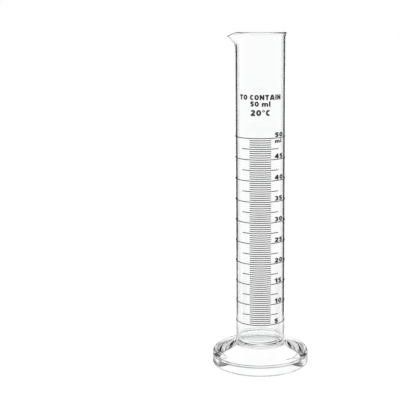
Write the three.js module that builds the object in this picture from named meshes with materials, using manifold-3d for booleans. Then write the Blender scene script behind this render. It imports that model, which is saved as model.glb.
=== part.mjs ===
// A 50 ml graduated measuring cylinder: a glass barrel with a pouring spout, fused to a pressed-glass
// foot, and the fired-on enamel of its scale. Millimetres, +Z up. The origin is the centre of the
// foot's underside, the spout points to -X, and the scale faces -Y.
import * as THREE from "three";
import { mergeVertices } from "three/addons/utils/BufferGeometryUtils.js";
import Module from "manifold-3d";

const wasm = await Module();
wasm.setup();

// Barrel: one tube with a closed end
const BARREL_RADIUS = 13.05;
const WALL = 1;
const BORE_RADIUS = BARREL_RADIUS - WALL;
const BARREL_TOP = 175.4;
const FLOOR_FILLET = 3;

// Rim: turned out a little and polished in a flame
const LIP_REACH = 0.5;
const LIP_HEIGHT = 1.9;
const LIP_RADIUS = 0.5;
const LIP_ARC_START = -30;
const LIP_ARC_END = 150;

// Spout: pulled out of the rim towards -X
const SPOUT_REACH = 3.6;
const SPOUT_DROP = 2;
const SPOUT_ROOT = 6.6;
const SPOUT_BLEND = 2.6;
const SPOUT_SPREAD = THREE.MathUtils.degToRad(15);
const SPOUT_ROOT_SOFTNESS = 0.06;
const SPOUT_BOW = 0.2;
const PINCH_DEPTH = 0.35;
const PINCH_ANGLE = THREE.MathUtils.degToRad(34);
const PINCH_SPREAD = THREE.MathUtils.degToRad(10);

// Foot: a pressed disc with a narrow flat rim, conical inside the rim and hollow below
const FOOT_RADIUS = 25.8;
const SHOULDER_RADIUS = 1.8;
const RIM_ANGLE = THREE.MathUtils.degToRad(3);
const RIM_WIDTH = 0.7;
const RIM_HEIGHT = 7.45;
const RIM_OUTER_RADIUS = FOOT_RADIUS - SHOULDER_RADIUS * (1 - Math.sin(RIM_ANGLE));
const CONE_ANGLE = THREE.MathUtils.degToRad(20.5);
const CONE_EDGE_RADIUS = RIM_OUTER_RADIUS - RIM_WIDTH;
const CONE_EDGE_HEIGHT = RIM_HEIGHT + RIM_WIDTH * Math.tan(RIM_ANGLE);
const UNDER_EDGE = 1;
const CONTACT_INNER = 22.6;
const HOLLOW_RADIUS = 20.9;
const HOLLOW_EDGE_HEIGHT = 3.9;
const CROWN_RADIUS = 12.3;
const CROWN_HEIGHT = 10.3;

// Fused joint: a fillet from the cone up to the barrel's wall, part of it foot and the rest barrel
const FILLET_RADIUS = 15.1;
const FILLET_TOP = 12.9;
const FOOT_SHARE = 0.5;
const FLOOR = jointPoint(FOOT_SHARE).y + WALL;

// Round solids share their facet angles, so that the enamel lies evenly over the barrel
const FACET = 5;
const FACETS = 360 / FACET;

// How many steps the profiles take along their curves and up the part of the wall that the spout bends
const LIP_STEPS = 6;
const SPOUT_STEPS = 4;
const BLEND_STEPS = 2;
const FLOOR_STEPS = 5;
const JOINT_STEPS = 4;
const SHOULDER_STEPS = 4;
const UNDER_EDGE_STEPS = 3;

// Enamel: its thickness, and its clearance over the glass facets
const ENAMEL = 0.08;
const ENAMEL_GAP = 0.06;
const ENAMEL_RADIUS = BARREL_RADIUS + ENAMEL_GAP;

// Scale
const CAPACITY = 50;
const NUMBERED_STEP = 5;
const LINE_HEIGHT = 0.42;
const LONG_MARK_ANGLE = 95;
const MEDIUM_MARK_ANGLE = 45;
const NUMBER_HEIGHT = 2.5;
const NUMBER_ANGLE = 34.4;
const NUMBER_WIDEN = 1.45;
const NUMBER_RISE = 0.45;
const UNIT_HEIGHT = 2.05;
const UNIT_DROP = 0.45;

// Lettering: lengths in cap heights
const STROKE = 0.28;
const DEGREE_STROKE = 0.13;
const LETTER_GAP = 0.14;
const WORD_GAP = 0.35;
const MARKING_WIDEN = 1.1;
const ARC_STEP = 22.5;
const MARKING = [
  { text: "TO CONTAIN", height: 2.65, base: 141.9 },
  { text: "50 ml", height: 2.65, base: 138.6 },
  { text: "20°C", height: 3.1, base: 133.9 },
];

const group = new THREE.Group();

function glass() {
  return new THREE.MeshStandardMaterial({
    color: 0xe8f1ef,
    roughness: 0.03,
    metalness: 0,
    transparent: true,
    opacity: 0.35,
  });
}

function enamel() {
  return new THREE.MeshStandardMaterial({ color: 0x141416, roughness: 0.45, metalness: 0 });
}

function addPart(name, geometry, material) {
  const mesh = new THREE.Mesh(geometry, material);
  mesh.name = name;
  group.add(mesh);
  return mesh;
}

// Points along an elliptic arc, angles in degrees
function arc(x, y, radiusX, radiusY, from, to, steps) {
  const points = [];
  for (let i = 0; i <= steps; i += 1) {
    const angle = THREE.MathUtils.degToRad(from + ((to - from) * i) / steps);
    points.push(new THREE.Vector2(x + radiusX * Math.cos(angle), y + radiusY * Math.sin(angle)));
  }
  return points;
}

// Points up or down a straight wall, for the spout to bend
function wallRows(radius, from, to, rows) {
  const points = [];
  for (let i = 0; i < rows; i += 1) {
    points.push(new THREE.Vector2(radius, from + ((to - from) * i) / rows));
  }
  return points;
}

function revolve(profile) {
  const geometry = new THREE.LatheGeometry(profile, FACETS);
  geometry.rotateX(Math.PI / 2);
  return geometry;
}

// A point on the fused joint's outline: 0 at the cone, 1 at the barrel's wall
function jointPoint(share) {
  const onCone = (radius) => {
    const height = CONE_EDGE_HEIGHT + (CONE_EDGE_RADIUS - radius) * Math.tan(CONE_ANGLE);
    return new THREE.Vector2(radius, height);
  };
  const top = new THREE.Vector2(BARREL_RADIUS, FILLET_TOP);
  return new THREE.QuadraticBezierCurve(onCone(FILLET_RADIUS), onCone(BARREL_RADIUS), top).getPoint(share);
}

function joint(from, to, steps) {
  const points = [];
  for (let i = 0; i <= steps; i += 1) {
    points.push(jointPoint(from + ((to - from) * i) / steps));
  }
  return points;
}

// How far the spout bends the wall at a height: 0 at the spout's root, 1 at the rim
function spoutRise(z) {
  const t = (z - (BARREL_TOP - SPOUT_ROOT)) / SPOUT_ROOT;
  const eased = (t + Math.sqrt(t * t + SPOUT_ROOT_SOFTNESS ** 2)) / 2;
  return eased * (1 + SPOUT_BOW * (1 - eased));
}

function bell(angle, spread) {
  return Math.exp(-((angle / spread) ** 2));
}

function pullSpout(geometry) {
  const position = geometry.attributes.position;
  const lowest = BARREL_TOP - SPOUT_ROOT - SPOUT_BLEND;
  for (let i = 0; i < position.count; i += 1) {
    const x = position.getX(i);
    const y = position.getY(i);
    const z = position.getZ(i);
    if (z > lowest) {
      const offAxis = Math.abs(Math.atan2(y, -x));
      const rise = spoutRise(z);
      const pull = SPOUT_REACH * bell(offAxis, SPOUT_SPREAD);
      const pinch = PINCH_DEPTH * bell(offAxis - PINCH_ANGLE, PINCH_SPREAD);
      const scale = 1 + ((pull - pinch) * rise) / Math.hypot(x, y);
      const drop = SPOUT_DROP * bell(offAxis, SPOUT_SPREAD) * rise * rise;
      position.setXYZ(i, x * scale, y * scale, z - drop);
    }
  }
}

function barrel() {
  const spoutRoot = BARREL_TOP - SPOUT_ROOT;
  const blendRoot = spoutRoot - SPOUT_BLEND;
  const lipRoot = BARREL_TOP - LIP_HEIGHT;
  const lipX = BARREL_RADIUS + LIP_REACH - LIP_RADIUS;
  const lipZ = BARREL_TOP - LIP_RADIUS;
  const filletX = BORE_RADIUS - FLOOR_FILLET;
  const geometry = revolve([
    new THREE.Vector2(0, jointPoint(FOOT_SHARE).y),
    ...joint(FOOT_SHARE, 1, JOINT_STEPS),
    ...wallRows(BARREL_RADIUS, blendRoot, spoutRoot, BLEND_STEPS),
    ...wallRows(BARREL_RADIUS, spoutRoot, lipRoot, SPOUT_STEPS),
    new THREE.Vector2(BARREL_RADIUS, lipRoot),
    ...arc(lipX, lipZ, LIP_RADIUS, LIP_RADIUS, LIP_ARC_START, LIP_ARC_END, LIP_STEPS),
    ...wallRows(BORE_RADIUS, lipRoot, spoutRoot, SPOUT_STEPS),
    ...wallRows(BORE_RADIUS, spoutRoot, blendRoot, BLEND_STEPS),
    new THREE.Vector2(BORE_RADIUS, blendRoot),
    ...arc(filletX, FLOOR + FLOOR_FILLET, FLOOR_FILLET, FLOOR_FILLET, 0, -90, FLOOR_STEPS),
    new THREE.Vector2(0, FLOOR),
  ]);
  pullSpout(geometry);
  addPart("barrel", geometry, glass());
}

function foot() {
  const edge = FOOT_RADIUS - UNDER_EDGE;
  const shoulderX = FOOT_RADIUS - SHOULDER_RADIUS;
  const shoulderZ = RIM_HEIGHT - SHOULDER_RADIUS * Math.cos(RIM_ANGLE);
  const rimNormal = 90 - THREE.MathUtils.radToDeg(RIM_ANGLE);
  const profile = [
    new THREE.Vector2(0, CROWN_HEIGHT),
    new THREE.Vector2(CROWN_RADIUS, CROWN_HEIGHT),
    new THREE.Vector2(HOLLOW_RADIUS, HOLLOW_EDGE_HEIGHT),
    new THREE.Vector2(CONTACT_INNER, 0),
    ...arc(edge, UNDER_EDGE, UNDER_EDGE, UNDER_EDGE, -90, 0, UNDER_EDGE_STEPS),
    ...arc(shoulderX, shoulderZ, SHOULDER_RADIUS, SHOULDER_RADIUS, 0, rimNormal, SHOULDER_STEPS),
    new THREE.Vector2(CONE_EDGE_RADIUS, CONE_EDGE_HEIGHT),
    ...joint(0, FOOT_SHARE, JOINT_STEPS),
    new THREE.Vector2(0, jointPoint(FOOT_SHARE).y),
  ];
  addPart("foot", revolve(profile), glass());
}

// The height of a volume's surface. The rounded floor corner takes up a little of the bore.
function levelOf(millilitres) {
  const cornerArea = FLOOR_FILLET ** 2 * (1 - Math.PI / 4);
  const cornerCentroid = BORE_RADIUS - (FLOOR_FILLET * (10 - 3 * Math.PI)) / (12 - 3 * Math.PI);
  const cornerVolume = 2 * Math.PI * cornerCentroid * cornerArea;
  return FLOOR + (millilitres * 1000 + cornerVolume) / (Math.PI * BORE_RADIUS ** 2);
}

// Wraps flat enamel round the barrel: x runs round it, y up it and z out of it
function wrap(geometry) {
  const position = geometry.attributes.position;
  for (let i = 0; i < position.count; i += 1) {
    const angle = position.getX(i) / ENAMEL_RADIUS;
    const radius = ENAMEL_RADIUS + position.getZ(i);
    position.setXYZ(i, radius * Math.sin(angle), -radius * Math.cos(angle), position.getY(i));
  }
  return geometry;
}

function mark(name, millilitres, halfAngle) {
  const length = 2 * ENAMEL_RADIUS * THREE.MathUtils.degToRad(halfAngle);
  const segments = (2 * halfAngle) / FACET;
  const band = new THREE.BoxGeometry(length, LINE_HEIGHT, ENAMEL, segments, 1, 1);
  band.translate(0, 0, ENAMEL / 2);
  const mesh = addPart(name, wrap(band), enamel());
  mesh.position.z = levelOf(millilitres);
}

// A stroke: the outline of a centre line drawn with a broad pen
function stroke(points) {
  const left = [];
  const right = [];
  points.forEach((point, i) => {
    const before = points[Math.max(i - 1, 0)];
    const after = points[Math.min(i + 1, points.length - 1)];
    const along = after.clone().sub(before).normalize();
    const side = new THREE.Vector2(-along.y, along.x).multiplyScalar(STROKE / 2);
    left.push(point.clone().add(side));
    right.unshift(point.clone().sub(side));
  });
  return new THREE.Shape([...right, ...left]);
}

function line(x1, y1, x2, y2) {
  return stroke([new THREE.Vector2(x1, y1), new THREE.Vector2(x2, y2)]);
}

function bow(x, y, radiusX, radiusY, from, to) {
  const steps = Math.ceil(Math.abs(to - from) / ARC_STEP);
  return stroke(arc(x, y, radiusX, radiusY, from, to, steps));
}

function ring(x, y, radiusX, radiusY, pen) {
  const steps = 360 / ARC_STEP;
  const shape = new THREE.Shape(arc(x, y, radiusX, radiusY, 0, 360, steps).slice(1));
  shape.holes.push(new THREE.Path(arc(x, y, radiusX - pen, radiusY - pen, 0, -360, steps).slice(1)));
  return shape;
}

// Plain sans-serif letters and figures, one cap height tall
const GLYPHS = {
  0: { width: 0.76, shapes: [ring(0.38, 0.5, 0.38, 0.5, STROKE)] },
  1: { width: 0.54, shapes: [line(0.4, 0, 0.4, 1), line(0.06, 0.7, 0.4, 0.88)] },
  2: {
    width: 0.72,
    shapes: [
      bow(0.36, 0.66, 0.22, 0.2, 165, -40),
      line(0.52, 0.55, 0.16, 0.16),
      line(0.04, 0.14, 0.7, 0.14),
    ],
  },
  3: { width: 0.66, shapes: [bow(0.3, 0.67, 0.2, 0.19, 150, -90), bow(0.3, 0.34, 0.22, 0.2, 90, -150)] },
  4: {
    width: 0.74,
    shapes: [line(0.5, 0, 0.5, 1), line(0.46, 0.9, 0.1, 0.36), line(0, 0.3, 0.74, 0.3)],
  },
  5: {
    width: 0.66,
    shapes: [line(0.14, 0.86, 0.64, 0.86), line(0.19, 0.9, 0.15, 0.5), bow(0.32, 0.34, 0.22, 0.2, 130, -155)],
  },
  A: { width: 0.94, shapes: [line(0.14, 0, 0.4, 1), line(0.8, 0, 0.54, 1), line(0.22, 0.26, 0.72, 0.26)] },
  C: { width: 0.66, shapes: [bow(0.38, 0.5, 0.24, 0.36, 45, 315)] },
  I: { width: 0.28, shapes: [line(0.14, 0, 0.14, 1)] },
  N: { width: 0.8, shapes: [line(0.14, 0, 0.14, 1), line(0.66, 0, 0.66, 1), line(0.14, 0.86, 0.66, 0.14)] },
  O: { width: 0.8, shapes: [ring(0.4, 0.5, 0.4, 0.5, STROKE)] },
  T: { width: 0.7, shapes: [line(0, 0.86, 0.7, 0.86), line(0.35, 0, 0.35, 0.86)] },
  m: {
    width: 1.12,
    shapes: [
      line(0.14, 0, 0.14, 0.72),
      bow(0.35, 0.4, 0.21, 0.18, 180, 0),
      line(0.56, 0, 0.56, 0.42),
      bow(0.77, 0.4, 0.21, 0.18, 180, 0),
      line(0.98, 0, 0.98, 0.42),
    ],
  },
  l: { width: 0.28, shapes: [line(0.14, 0, 0.14, 1)] },
  "°": { width: 0.4, shapes: [ring(0.2, 0.8, 0.2, 0.2, DEGREE_STROKE)] },
};

function solidOf(shape) {
  const geometry = new THREE.ExtrudeGeometry(shape, { depth: ENAMEL, bevelEnabled: false });
  geometry.deleteAttribute("normal");
  geometry.deleteAttribute("uv");
  const merged = mergeVertices(geometry);
  const vertProperties = new Float32Array(merged.attributes.position.array);
  const triVerts = new Uint32Array(merged.index.array);
  return new wasm.Manifold(new wasm.Mesh({ numProp: 3, vertProperties, triVerts }));
}

// One character as flat enamel, its strokes joined into one solid
function glyphGeometry(character, font) {
  const solids = GLYPHS[character].shapes.map(solidOf);
  const joined = solids.reduce((whole, next) => whole.add(next)).getMesh();
  const geometry = new THREE.BufferGeometry();
  geometry.setAttribute("position", new THREE.BufferAttribute(joined.vertProperties, 3));
  geometry.setIndex(new THREE.BufferAttribute(joined.triVerts, 1));
  geometry.scale(font.height * font.widen, font.height, 1);
  return geometry;
}

// Where each character of a text starts, in millimetres round the barrel, and the text's length
function typeset(text, font) {
  const places = [];
  let pen = 0;
  for (const character of text) {
    if (character === " ") {
      pen += WORD_GAP;
    } else {
      places.push({ character, start: pen * font.height * font.widen });
      pen += GLYPHS[character].width + LETTER_GAP;
    }
  }
  return { places, length: (pen - LETTER_GAP) * font.height * font.widen };
}

function addGlyph(name, character, font, start, base) {
  const geometry = glyphGeometry(character, font);
  geometry.translate(start, 0, 0);
  const mesh = addPart(name, wrap(geometry), enamel());
  mesh.position.z = base;
}

function scaleNumbers() {
  const left = ENAMEL_RADIUS * THREE.MathUtils.degToRad(NUMBER_ANGLE);
  const numberFont = { height: NUMBER_HEIGHT, widen: NUMBER_WIDEN };
  const unitFont = { height: UNIT_HEIGHT, widen: NUMBER_WIDEN };
  for (let value = NUMBERED_STEP; value <= CAPACITY; value += NUMBERED_STEP) {
    const base = levelOf(value) + NUMBER_RISE;
    for (const { character, start } of typeset(String(value), numberFont).places) {
      addGlyph(`number_${value}_${character}`, character, numberFont, left + start, base);
    }
  }
  const unitBase = levelOf(CAPACITY) - UNIT_DROP - UNIT_HEIGHT;
  for (const { character, start } of typeset("ml", unitFont).places) {
    addGlyph(`unit_${character}`, character, unitFont, left + start, unitBase);
  }
}

function scaleMarks() {
  for (let value = NUMBERED_STEP; value <= CAPACITY; value += NUMBERED_STEP) {
    mark(`long_mark_${value}`, value, LONG_MARK_ANGLE);
    if (value < CAPACITY) {
      mark(`medium_mark_${value + 2}_5`, value + NUMBERED_STEP / 2, MEDIUM_MARK_ANGLE);
    }
  }
}

function marking() {
  MARKING.forEach(({ text, height, base }, row) => {
    const font = { height, widen: MARKING_WIDEN };
    const { places, length } = typeset(text, font);
    places.forEach(({ character, start }, column) => {
      const name = `marking_${row + 1}_glyph_${column + 1}`;
      addGlyph(name, character, font, start - length / 2, base);
    });
  });
}

foot();
barrel();
scaleMarks();
scaleNumbers();
marking();

export default group;
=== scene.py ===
"""A 50 ml graduated glass measuring cylinder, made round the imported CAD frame.

Finer glass and enamel surfaces replace the frame's faceted solids. Metres, +Z up. The spout points
to -X and the scale faces -Y.
"""
import math

import bpy
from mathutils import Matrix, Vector


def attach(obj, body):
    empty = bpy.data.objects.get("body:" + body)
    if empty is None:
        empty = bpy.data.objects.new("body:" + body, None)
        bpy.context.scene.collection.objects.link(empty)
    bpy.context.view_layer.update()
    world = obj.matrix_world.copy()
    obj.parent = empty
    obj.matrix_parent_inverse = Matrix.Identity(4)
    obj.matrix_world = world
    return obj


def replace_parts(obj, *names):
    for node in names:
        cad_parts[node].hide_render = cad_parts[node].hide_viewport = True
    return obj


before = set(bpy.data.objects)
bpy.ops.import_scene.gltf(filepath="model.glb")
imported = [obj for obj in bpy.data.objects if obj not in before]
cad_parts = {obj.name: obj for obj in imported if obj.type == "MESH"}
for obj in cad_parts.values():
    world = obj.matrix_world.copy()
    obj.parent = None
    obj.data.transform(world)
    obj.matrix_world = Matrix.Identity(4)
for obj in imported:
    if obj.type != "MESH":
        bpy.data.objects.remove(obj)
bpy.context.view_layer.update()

MM = 0.001

# Barrel, in millimetres
BARREL_RADIUS = 13.05
WALL = 1.0
BORE_RADIUS = BARREL_RADIUS - WALL
BARREL_TOP = 175.4
FLOOR_FILLET = 3.0
LIP_REACH = 0.5
LIP_HEIGHT = 1.9
LIP_RADIUS = 0.5
LIP_ARC_START = -20
LIP_ARC_END = 150
LIP_FLARE = 0.4
SPOUT_REACH = 3.6
SPOUT_DROP = 2.0
SPOUT_ROOT = 6.6
SPOUT_BLEND = 2.6
SPOUT_SPREAD = math.radians(15)
SPOUT_ROOT_SOFTNESS = 0.06
SPOUT_BOW = 0.2
PINCH_DEPTH = 0.35
PINCH_ANGLE = math.radians(34)
PINCH_SPREAD = math.radians(10)

# Foot, in millimetres
FOOT_RADIUS = 25.8
SHOULDER_RADIUS = 1.8
RIM_ANGLE = math.radians(3)
RIM_WIDTH = 0.7
RIM_HEIGHT = 7.45
SHOULDER_TOP_RADIUS = FOOT_RADIUS - SHOULDER_RADIUS * (1 - math.sin(RIM_ANGLE))
CONE_ANGLE = math.radians(20.5)
CONE_EDGE_RADIUS = SHOULDER_TOP_RADIUS - RIM_WIDTH
CONE_EDGE_HEIGHT = RIM_HEIGHT + RIM_WIDTH * math.tan(RIM_ANGLE)
CONE_EDGE_SOFTNESS = 0.35
UNDER_EDGE = 1.0
CONTACT_INNER = 22.6
CONTACT_SOFTNESS = 0.4
HOLLOW_RADIUS = 20.9
HOLLOW_EDGE_HEIGHT = 3.9
HOLLOW_SOFTNESS = 0.8
CROWN_RADIUS = 12.3
CROWN_HEIGHT = 10.3
CROWN_SOFTNESS = 1.2
FILLET_RADIUS = 15.1
FILLET_TOP = 12.9
FOOT_SHARE = 0.5

# How finely the glass is divided
GLASS_SEGMENTS = 192
DISC_RINGS = 6
WALL_ROWS = 12
SPOUT_ROWS = 26
ROW_GAP = 0.3
LIP_STEPS = 6
BEAD_STEPS = 12
FLOOR_STEPS = 16
JOINT_STEPS = 10
UNDER_EDGE_STEPS = 10
SHOULDER_STEPS = 12
CONE_EDGE_STEPS = 6
CROWN_STEPS = 6
HOLLOW_STEPS = 8
SEAM_TOLERANCE = 0.001

# Enamel, in millimetres, degrees and millilitres; the last two are shares of its height and width
INK_SUNK = 0.02
INK_PROUD = 0.05
SHORT_MARK_ANGLE = 25
MARK_STEP = 2.5
MINOR_STEP = 0.5
MEDIUM_STEP = 2.5
NUMBERED_STEP = 5
CAPACITY = 50
INK_SIDE = 0.6
INK_TOP = 0.84

# Materials: finish, and bump distances in metres
GLASS_IOR = 1.47
DRAWN_TINT = (0.985, 0.995, 0.99)
DRAWN_WAVES = (60, 60, 12)
PRESSED_TINT = (0.98, 0.994, 0.988)
PRESSED_WAVES = (45, 45, 45)
WAVE_ROUGHNESS = (0.0, 0.012)
WAVE_BUMP = 0.05
WAVE_DEPTH = 0.0002
INK_DARK = (0.006, 0.006, 0.007, 1)
INK_PALE = (0.022, 0.022, 0.024, 1)
INK_ROUGHNESS = (0.35, 0.6)
INK_SPECULAR = 0.35
INK_GRAIN = 5000.0
INK_BUMP = 0.3
INK_DEPTH = 0.00001

# Camera, in metres
CAMERA_PLACE = (0.0, -0.5002, 0.1843)
CAMERA_PITCH = math.radians(-10.85)
CAMERA_LENS = 87.25
CAMERA_SHIFT = -0.1508

# Studio: floor in metres, then the light round the glass as azimuth from +Y towards -X in degrees
# and brightness
FLOOR_REACH = 3.0
FLOOR_TONE = 0.9
FLOOR_GLOW = 0.6
AROUND = [(-180, 0.8), (-112, 0.8), (-60, 1.0), (60, 1.0), (112, 0.8), (180, 0.8)]

# Dark cards that draw the outlines of the glass: lowest and highest azimuth, lowest and highest
# elevation, and strength
CARDS = [
    (22, 40, -18.4, 18, 1.0),
    (36, 52, -14, 18, 1.0),
    (-52, -22, -18.4, 18, 1.0),
    (18, 32, -33, -20, 0.9),
    (-32, -18, -33, -20, 0.9),
    (9, 30, 3.5, 26, 1.0),
    (-30, -9, 3.5, 26, 1.0),
    (6, 10, 7.5, 26, 1.0),
    (-10, -6, 7.5, 26, 1.0),
    (-6, 6, 7.5, 26, 0.6),
    (-105, -70, -26, -15, 1.0),
    (110, 180, -90, -37, 0.85),
    (-180, -32, -90, -37, 0.85),
]
CARD_SOFTNESS = 1.2

# How often light may pass or bounce inside the glass
GLASS_BOUNCES = 24
GLOSS_BOUNCES = 12
JOINT_BOUNCES = 16


# Outlines

def towards(point, target, distance):
    """The point moved a distance towards a target."""
    share = distance / math.dist(point, target)
    return tuple(a + (b - a) * share for a, b in zip(point, target))


def arc(x, y, radius, start, end, steps):
    """Points along a circular arc, angles in degrees."""
    points = []
    for i in range(steps + 1):
        angle = math.radians(start + (end - start) * i / steps)
        points.append((x + radius * math.cos(angle), y + radius * math.sin(angle)))
    return points


def curve(start, corner, end, steps, first=0.0, last=1.0):
    """Points along part of a quadratic curve that leaves and arrives along the lines to its corner."""
    points = []
    for i in range(steps + 1):
        t = first + (last - first) * i / steps
        weights = (1 - t) ** 2, 2 * t * (1 - t), t ** 2
        points.append(tuple(sum(w * v for w, v in zip(weights, axis)) for axis in zip(start, corner, end)))
    return points


def softened(before, corner, after, softness, steps):
    """A corner rounded off over a distance each way."""
    return curve(towards(corner, before, softness), corner, towards(corner, after, softness), steps)


def wall_rows(radius, start, end, rows):
    return [(radius, start + (end - start) * i / rows) for i in range(rows)]


def disc(radius, height):
    return [(radius * i / DISC_RINGS, height) for i in range(1, DISC_RINGS)]


def on_cone(radius):
    return radius, CONE_EDGE_HEIGHT + (CONE_EDGE_RADIUS - radius) * math.tan(CONE_ANGLE)


def fused_joint(first, last, steps):
    """The joint's outline: 0 where it leaves the foot's cone, 1 where it reaches the barrel's wall."""
    top = BARREL_RADIUS, FILLET_TOP
    return curve(on_cone(FILLET_RADIUS), on_cone(BARREL_RADIUS), top, steps, first, last)


# Meshes

def new_mesh(name, verts, faces):
    mesh = bpy.data.meshes.new(name)
    mesh.from_pydata(verts, [], faces)
    mesh.update()
    return mesh


def revolve(name, profile):
    """Turns a profile that starts and ends on the axis into a closed mesh. Millimetres in, metres out."""
    rings = profile[1:-1]
    verts = []
    for radius, height in rings:
        for i in range(GLASS_SEGMENTS):
            angle = math.tau * i / GLASS_SEGMENTS
            verts.append((radius * MM * math.sin(angle), -radius * MM * math.cos(angle), height * MM))
    faces = []
    for ring in range(len(rings) - 1):
        for i in range(GLASS_SEGMENTS):
            j = (i + 1) % GLASS_SEGMENTS
            low, high = ring * GLASS_SEGMENTS, (ring + 1) * GLASS_SEGMENTS
            faces.append((low + i, low + j, high + j, high + i))
    first, last = len(verts), len(verts) + 1
    verts.append((0, 0, profile[0][1] * MM))
    verts.append((0, 0, profile[-1][1] * MM))
    top = (len(rings) - 1) * GLASS_SEGMENTS
    for i in range(GLASS_SEGMENTS):
        j = (i + 1) % GLASS_SEGMENTS
        faces.append((first, j, i))
        faces.append((last, top + i, top + j))
    return new_mesh(name, verts, faces)


def keep(mesh, name, material):
    """Makes a mesh a piece of the object: it rides on the root body."""
    for polygon in mesh.polygons:
        polygon.use_smooth = True
    mesh.materials.append(material)
    piece = bpy.data.objects.new(name, mesh)
    bpy.context.scene.collection.objects.link(piece)
    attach(piece, "root")
    return piece


# Materials

def new_material(name):
    material = bpy.data.materials.new(name)
    material.use_nodes = True
    nodes = material.node_tree.nodes
    return material, nodes, material.node_tree.links, nodes["Principled BSDF"]


def add_node(nodes, kind, **values):
    node = nodes.new(kind)
    for key, value in values.items():
        setattr(node, key, value)
    return node


def add_noise(nodes, links, vector, scale, detail):
    noise = add_node(nodes, "ShaderNodeTexNoise")
    noise.inputs["Scale"].default_value = scale
    noise.inputs["Detail"].default_value = detail
    links.new(vector, noise.inputs["Vector"])
    return noise.outputs["Fac"]


def vary_finish(nodes, links, shader, pattern, colors, roughness, strength, distance):
    """Lets a pattern drive the colour, the roughness and the bump."""
    shade = add_node(nodes, "ShaderNodeMix", data_type="RGBA")
    shade.inputs["A"].default_value, shade.inputs["B"].default_value = colors
    links.new(pattern, shade.inputs["Factor"])
    links.new(shade.outputs["Result"], shader.inputs["Base Color"])
    polish = add_node(nodes, "ShaderNodeMapRange")
    polish.inputs["To Min"].default_value, polish.inputs["To Max"].default_value = roughness
    links.new(pattern, polish.inputs["Value"])
    links.new(polish.outputs["Result"], shader.inputs["Roughness"])
    bump = add_node(nodes, "ShaderNodeBump")
    bump.inputs["Strength"].default_value = strength
    bump.inputs["Distance"].default_value = distance
    links.new(pattern, bump.inputs["Height"])
    links.new(bump.outputs["Normal"], shader.inputs["Normal"])


def glass_material(name, tint, stretch):
    """Clear glass with a faint tint, and the slow waviness that drawing or pressing leaves."""
    material, nodes, links, shader = new_material(name)
    shader.inputs["Transmission Weight"].default_value = 1.0
    shader.inputs["IOR"].default_value = GLASS_IOR
    place = add_node(nodes, "ShaderNodeTexCoord")
    scale = add_node(nodes, "ShaderNodeMapping")
    scale.inputs["Scale"].default_value = stretch
    links.new(place.outputs["Object"], scale.inputs["Vector"])
    waves = add_noise(nodes, links, scale.outputs["Vector"], 1.0, 2.0)
    colors = (*tint, 1), (1, 1, 1, 1)
    vary_finish(nodes, links, shader, waves, colors, WAVE_ROUGHNESS, WAVE_BUMP, WAVE_DEPTH)
    return material


def fused_material():
    """The fused joint between barrel and foot: one glass, so light passes it unbent."""
    material = bpy.data.materials.new("fused_joint")
    material.use_nodes = True
    nodes = material.node_tree.nodes
    nodes.clear()
    clear = nodes.new("ShaderNodeBsdfTransparent")
    output = nodes.new("ShaderNodeOutputMaterial")
    material.node_tree.links.new(clear.outputs["BSDF"], output.inputs["Surface"])
    return material


def enamel_material():
    """Black vitreous enamel, screen-printed and fired: slightly uneven in tone and gloss."""
    material, nodes, links, shader = new_material("black_enamel")
    shader.inputs["Specular IOR Level"].default_value = INK_SPECULAR
    place = add_node(nodes, "ShaderNodeTexCoord")
    grain = add_noise(nodes, links, place.outputs["Object"], INK_GRAIN, 3.0)
    colors = INK_DARK, INK_PALE
    vary_finish(nodes, links, shader, grain, colors, INK_ROUGHNESS, INK_BUMP, INK_DEPTH)
    return material


# Glass

def spout_rise(z):
    """How far the spout bends the wall at a height: 0 at the spout's root, 1 at the rim."""
    t = (z - (BARREL_TOP - SPOUT_ROOT)) / SPOUT_ROOT
    eased = (t + math.sqrt(t * t + SPOUT_ROOT_SOFTNESS ** 2)) / 2
    return eased * (1 + SPOUT_BOW * (1 - eased))


def bell(angle, spread):
    return math.exp(-((angle / spread) ** 2))


def pull_spout(mesh):
    """Pulls the mouth out and down into a spout, and pinches it in on both sides of the spout."""
    lowest = BARREL_TOP - SPOUT_ROOT - SPOUT_BLEND
    for vert in mesh.vertices:
        x, y, z = (c / MM for c in vert.co)
        if z > lowest:
            off_axis = abs(math.atan2(y, -x))
            rise = spout_rise(z)
            pull = SPOUT_REACH * bell(off_axis, SPOUT_SPREAD)
            pinch = PINCH_DEPTH * bell(off_axis - PINCH_ANGLE, PINCH_SPREAD)
            scale = 1 + (pull - pinch) * rise / math.hypot(x, y)
            drop = SPOUT_DROP * bell(off_axis, SPOUT_SPREAD) * rise ** 2
            vert.co = Vector((x * scale, y * scale, z - drop)) * MM


def fuse(piece, height, radius, joint):
    """Gives the faces that meet the other glass piece the fused joint's material."""
    piece.data.materials.append(joint)
    for polygon in piece.data.polygons:
        centre = polygon.center / MM
        if abs(centre.z - height) < SEAM_TOLERANCE and math.hypot(centre.x, centre.y) < radius:
            polygon.material_index = 1


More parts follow.
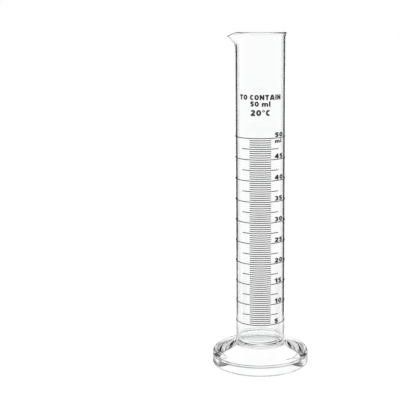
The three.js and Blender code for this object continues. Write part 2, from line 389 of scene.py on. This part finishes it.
def barrel_profile():
    seam, base = fused_joint(FOOT_SHARE, 1, 1)[0]
    floor = base + WALL
    spout_low = BARREL_TOP - SPOUT_ROOT - SPOUT_BLEND
    lip_root = BARREL_TOP - LIP_HEIGHT
    lip_bend = lip_root + LIP_HEIGHT * LIP_FLARE
    lip_x = BARREL_RADIUS + LIP_REACH - LIP_RADIUS
    bead = arc(lip_x, BARREL_TOP - LIP_RADIUS, LIP_RADIUS, LIP_ARC_START, LIP_ARC_END, BEAD_STEPS)
    return [
        (0, base),
        *disc(seam, base),
        *fused_joint(FOOT_SHARE, 1, JOINT_STEPS),
        *wall_rows(BARREL_RADIUS, FILLET_TOP + ROW_GAP, spout_low, WALL_ROWS),
        *wall_rows(BARREL_RADIUS, spout_low, lip_root, SPOUT_ROWS),
        *curve((BARREL_RADIUS, lip_root), (BARREL_RADIUS, lip_bend), bead[0], LIP_STEPS)[:-1],
        *bead,
        *wall_rows(BORE_RADIUS, lip_root, spout_low, SPOUT_ROWS),
        *wall_rows(BORE_RADIUS, spout_low, floor + FLOOR_FILLET + ROW_GAP, WALL_ROWS),
        *arc(BORE_RADIUS - FLOOR_FILLET, floor + FLOOR_FILLET, FLOOR_FILLET, 0, -90, FLOOR_STEPS),
        (0, floor),
    ]


def add_barrel(joint):
    seam, base = fused_joint(FOOT_SHARE, 1, 1)[0]
    mesh = revolve("barrel_glass", barrel_profile())
    pull_spout(mesh)
    material = glass_material("drawn_glass", DRAWN_TINT, DRAWN_WAVES)
    piece = keep(mesh, "barrel_glass", material)
    fuse(piece, base, seam, joint)
    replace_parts(piece, "barrel")


def foot_profile():
    seam, base = fused_joint(FOOT_SHARE, 1, 1)[0]
    edge = FOOT_RADIUS - UNDER_EDGE
    shoulder = FOOT_RADIUS - SHOULDER_RADIUS
    shoulder_height = RIM_HEIGHT - SHOULDER_RADIUS * math.cos(RIM_ANGLE)
    shoulder_end = 90 - math.degrees(RIM_ANGLE)
    rim_top = (SHOULDER_TOP_RADIUS, RIM_HEIGHT)
    cone_edge = (CONE_EDGE_RADIUS, CONE_EDGE_HEIGHT)
    crown_middle = (0, CROWN_HEIGHT)
    crown = (CROWN_RADIUS, CROWN_HEIGHT)
    hollow = (HOLLOW_RADIUS, HOLLOW_EDGE_HEIGHT)
    contact = (CONTACT_INNER, 0)
    return [
        crown_middle,
        *disc(CROWN_RADIUS - CROWN_SOFTNESS, CROWN_HEIGHT),
        *softened(crown_middle, crown, hollow, CROWN_SOFTNESS, CROWN_STEPS),
        *softened(crown, hollow, contact, HOLLOW_SOFTNESS, HOLLOW_STEPS),
        towards(contact, hollow, CONTACT_SOFTNESS),
        contact,
        *arc(edge, UNDER_EDGE, UNDER_EDGE, -90, 0, UNDER_EDGE_STEPS),
        *arc(shoulder, shoulder_height, SHOULDER_RADIUS, 0, shoulder_end, SHOULDER_STEPS),
        *softened(rim_top, cone_edge, on_cone(FILLET_RADIUS), CONE_EDGE_SOFTNESS, CONE_EDGE_STEPS),
        *fused_joint(0, FOOT_SHARE, JOINT_STEPS),
        *reversed(disc(seam, base)),
        (0, base),
    ]


def add_foot(joint):
    seam, base = fused_joint(FOOT_SHARE, 1, 1)[0]
    material = glass_material("pressed_glass", PRESSED_TINT, PRESSED_WAVES)
    piece = keep(revolve("foot_glass", foot_profile()), "foot_glass", material)
    fuse(piece, base, seam, joint)
    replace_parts(piece, "foot")


# Enamel

def footprint(node):
    """Where a CAD enamel island lies on the barrel: its lowest and highest azimuth and height."""
    points = [vert.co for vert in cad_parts[node].data.vertices]
    angles = [math.atan2(point.x, -point.y) for point in points]
    heights = [point.z for point in points]
    return min(angles), max(angles), min(heights), max(heights)


def on_barrel(angle, height, proud):
    radius = (BARREL_RADIUS + proud) * MM
    return radius * math.sin(angle), -radius * math.cos(angle), height


def line_section(thick):
    """A printed line's section, as height from its middle and height off the glass."""
    half, top = thick / 2, thick / 2 * INK_TOP
    side = INK_PROUD * INK_SIDE
    return [
        (-half, -INK_SUNK), (-half, side), (-top, INK_PROUD),
        (top, INK_PROUD), (half, side), (half, -INK_SUNK),
    ]


def bands(name, rows):
    """One mesh of curved bands, each (half angle in radians, middle height, line height)."""
    verts, faces = [], []
    for half_angle, middle, thick in rows:
        steps = round(2 * math.degrees(half_angle) / MARK_STEP)
        section = line_section(thick)
        count = len(section)
        start = len(verts)
        for i in range(steps + 1):
            angle = -half_angle + 2 * half_angle * i / steps
            verts += [on_barrel(angle, middle + dz, proud) for dz, proud in section]
        for i in range(steps):
            for k in range(count):
                a, b = start + i * count + k, start + i * count + (k + 1) % count
                faces.append((a, a + count, b + count, b))
        faces.append(tuple(start + k for k in range(count)))
        faces.append(tuple(start + steps * count + k for k in reversed(range(count))))
    return new_mesh(name, verts, faces)


def replace_mark(node, ink):
    """Stands a finer band in for a CAD mark, and gives its middle height and line height."""
    left, right, low, high = footprint(node)
    middle, thick = (low + high) / 2, high - low
    mesh = bands(node + "_ink", [((right - left) / 2, middle, thick)])
    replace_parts(keep(mesh, node + "_ink", ink), node)
    return middle, thick


def add_short_marks(base, top, thick, ink):
    """The short marks between the marks that the CAD has, from the lowest to the highest number."""
    per_ml = (top - base) / (CAPACITY - NUMBERED_STEP)
    rows = []
    for i in range(1, round((CAPACITY - NUMBERED_STEP) / MINOR_STEP)):
        if i % (MEDIUM_STEP / MINOR_STEP):
            rows.append((math.radians(SHORT_MARK_ANGLE), base + per_ml * MINOR_STEP * i, thick))
    keep(bands("short_marks_ink", rows), "short_marks_ink", ink)


def add_marks(ink):
    marks = {}
    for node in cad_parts:
        if "_mark_" in node:
            marks[node] = replace_mark(node, ink)
    base, thick = marks[f"long_mark_{NUMBERED_STEP}"]
    top, thick = marks[f"long_mark_{CAPACITY}"]
    add_short_marks(base, top, thick, ink)


def ink_glyphs(ink):
    """The printed characters keep their CAD shapes and get the enamel's finish."""
    for node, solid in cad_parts.items():
        if node.startswith(("number_", "unit_", "marking_")):
            for slot in solid.material_slots:
                slot.material = ink


# Studio

def add_camera():
    data = bpy.data.cameras.new("camera")
    data.lens = CAMERA_LENS
    data.shift_x = CAMERA_SHIFT
    camera = bpy.data.objects.new("camera", data)
    camera.location = CAMERA_PLACE
    camera.rotation_euler = (math.radians(90) + CAMERA_PITCH, 0, 0)
    bpy.context.scene.collection.objects.link(camera)
    bpy.context.scene.camera = camera


def add_floor():
    """A pale floor that the glass doesn't show, so that the cards draw the glass down to its foot."""
    reach = FLOOR_REACH
    corners = [(-reach, -reach, 0), (reach, -reach, 0), (reach, reach, 0), (-reach, reach, 0)]
    mesh = new_mesh("floor", corners, [(0, 1, 2, 3)])
    floor = bpy.data.objects.new("floor", mesh)
    material, nodes, links, shader = new_material("pale_floor")
    shader.inputs["Base Color"].default_value = (FLOOR_TONE, FLOOR_TONE, FLOOR_TONE, 1)
    shader.inputs["Emission Color"].default_value = (1, 1, 1, 1)
    shader.inputs["Emission Strength"].default_value = FLOOR_GLOW
    mesh.materials.append(material)
    bpy.context.scene.collection.objects.link(floor)
    floor.visible_transmission = False
    floor.visible_glossy = False


def math_node(nodes, links, operation, *inputs):
    """A Math node's result; each input is a number or another node's output."""
    node = add_node(nodes, "ShaderNodeMath", operation=operation)
    for socket, value in zip(node.inputs, inputs):
        if isinstance(value, (int, float)):
            socket.default_value = value
        else:
            links.new(value, socket)
    return node.outputs[0]


def band_mask(nodes, links, value, low, high):
    """1 between two angles and 0 outside them, with soft edges."""
    edges = []
    for edge in (low, high):
        node = add_node(nodes, "ShaderNodeMapRange", interpolation_type="SMOOTHSTEP")
        node.inputs["From Min"].default_value = edge - CARD_SOFTNESS
        node.inputs["From Max"].default_value = edge + CARD_SOFTNESS
        links.new(value, node.inputs["Value"])
        edges.append(node.outputs["Result"])
    return math_node(nodes, links, "SUBTRACT", *edges)


def world_angles(nodes, links):
    """The azimuth and elevation of a direction, in degrees."""
    place = nodes.new("ShaderNodeTexCoord")
    split = nodes.new("ShaderNodeSeparateXYZ")
    links.new(place.outputs["Generated"], split.inputs["Vector"])
    leftward = math_node(nodes, links, "MULTIPLY", split.outputs["X"], -1)
    azimuth = math_node(nodes, links, "ARCTAN2", leftward, split.outputs["Y"])
    elevation = math_node(nodes, links, "ARCSINE", split.outputs["Z"])
    return math_node(nodes, links, "DEGREES", azimuth), math_node(nodes, links, "DEGREES", elevation)


def light_around(nodes, links, azimuth):
    """The brightness that the direction round the glass gives."""
    ramp = nodes.new("ShaderNodeValToRGB")
    stops = ramp.color_ramp.elements
    stops.remove(stops[-1])
    for i, (degrees, bright) in enumerate(AROUND):
        position = (degrees + 180) / 360
        stop = stops[0] if i == 0 else stops.new(position)
        stop.position = position
        stop.color = (bright, bright, bright, 1)
    turn = math_node(nodes, links, "MULTIPLY_ADD", azimuth, 1 / 360, 0.5)
    links.new(turn, ramp.inputs["Fac"])
    return ramp.outputs["Color"]


def add_world():
    """Plain white behind the object; the glass itself sees soft light and dark cards."""
    world = bpy.data.worlds.new("studio")
    world.use_nodes = True
    nodes, links = world.node_tree.nodes, world.node_tree.links
    nodes.clear()
    azimuth, elevation = world_angles(nodes, links)
    strength = light_around(nodes, links, azimuth)
    for left, right, low, high, share in CARDS:
        across = band_mask(nodes, links, azimuth, left, right)
        upright = band_mask(nodes, links, elevation, low, high)
        card = math_node(nodes, links, "MULTIPLY", across, upright)
        passed = math_node(nodes, links, "MULTIPLY_ADD", card, -share, 1)
        strength = math_node(nodes, links, "MULTIPLY", strength, passed)
    light = nodes.new("ShaderNodeBackground")
    links.new(strength, light.inputs["Strength"])
    plain = nodes.new("ShaderNodeBackground")
    for background in (light, plain):
        background.inputs["Color"].default_value = (1, 1, 1, 1)
    path = nodes.new("ShaderNodeLightPath")
    mix = nodes.new("ShaderNodeMixShader")
    links.new(path.outputs["Is Camera Ray"], mix.inputs["Fac"])
    links.new(light.outputs["Background"], mix.inputs[1])
    links.new(plain.outputs["Background"], mix.inputs[2])
    output = nodes.new("ShaderNodeOutputWorld")
    links.new(mix.outputs["Shader"], output.inputs["Surface"])
    bpy.context.scene.world = world


def set_light_paths():
    scene = bpy.context.scene
    scene.view_settings.view_transform = "Standard"
    scene.cycles.max_bounces = GLASS_BOUNCES
    scene.cycles.transmission_bounces = GLASS_BOUNCES
    scene.cycles.glossy_bounces = GLOSS_BOUNCES
    scene.cycles.transparent_max_bounces = JOINT_BOUNCES
    scene.cycles.use_denoising = True


add_camera()
add_world()
add_floor()
set_light_paths()
joint_material = fused_material()
add_barrel(joint_material)
add_foot(joint_material)
enamel = enamel_material()
add_marks(enamel)
ink_glyphs(enamel)
